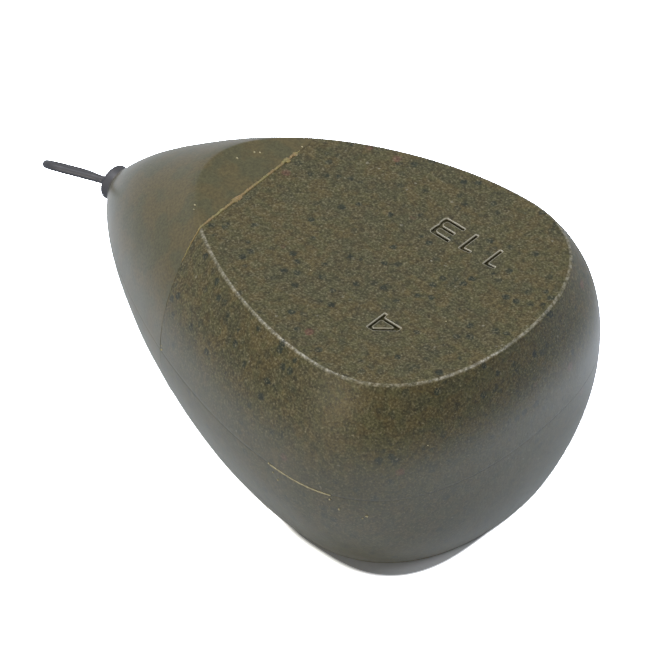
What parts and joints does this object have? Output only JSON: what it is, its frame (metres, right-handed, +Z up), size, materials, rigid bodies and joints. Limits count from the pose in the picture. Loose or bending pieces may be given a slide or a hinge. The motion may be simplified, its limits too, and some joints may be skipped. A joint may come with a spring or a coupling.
{
  "type": "fishing sinker",
  "caption": "Flat pear-shaped casting sinker with a camouflage coat, a smooth coated nose and a swivel whose free eye turns in its barrel.",
  "frame": {"origin": "on the lower flat, straight under the body's axis at its widest cross-section", "axes": "+X along the body's axis from the blunt tail towards the nose and its swivel, +Z up through the two flats, +Y to the side"},
  "size_m": [0.0593, 0.0368, 0.0222],
  "materials": {
    "casting": "rough cast",
    "camo_coat": "matte sandy camouflage coat",
    "nose_coat": "matte smooth coat",
    "swivel": "satin gunmetal"
  },
  "bodies": {
    "weight": {"core": "casting", "camo_coat": "camo_coat", "nose_coat": "nose_coat", "swivel_barrel": "swivel", "anchor_eye": "swivel"},
    "free_eye": {"line_eye": "swivel"}
  },
  "joints": [
    {"name": "swivel_turn", "type": "hinge", "parent": "weight", "child": "free_eye", "pos_m": [0.03702, 0, 0.01133], "axis": [0.9545, 0, -0.2981], "continuous": true}
  ]
}
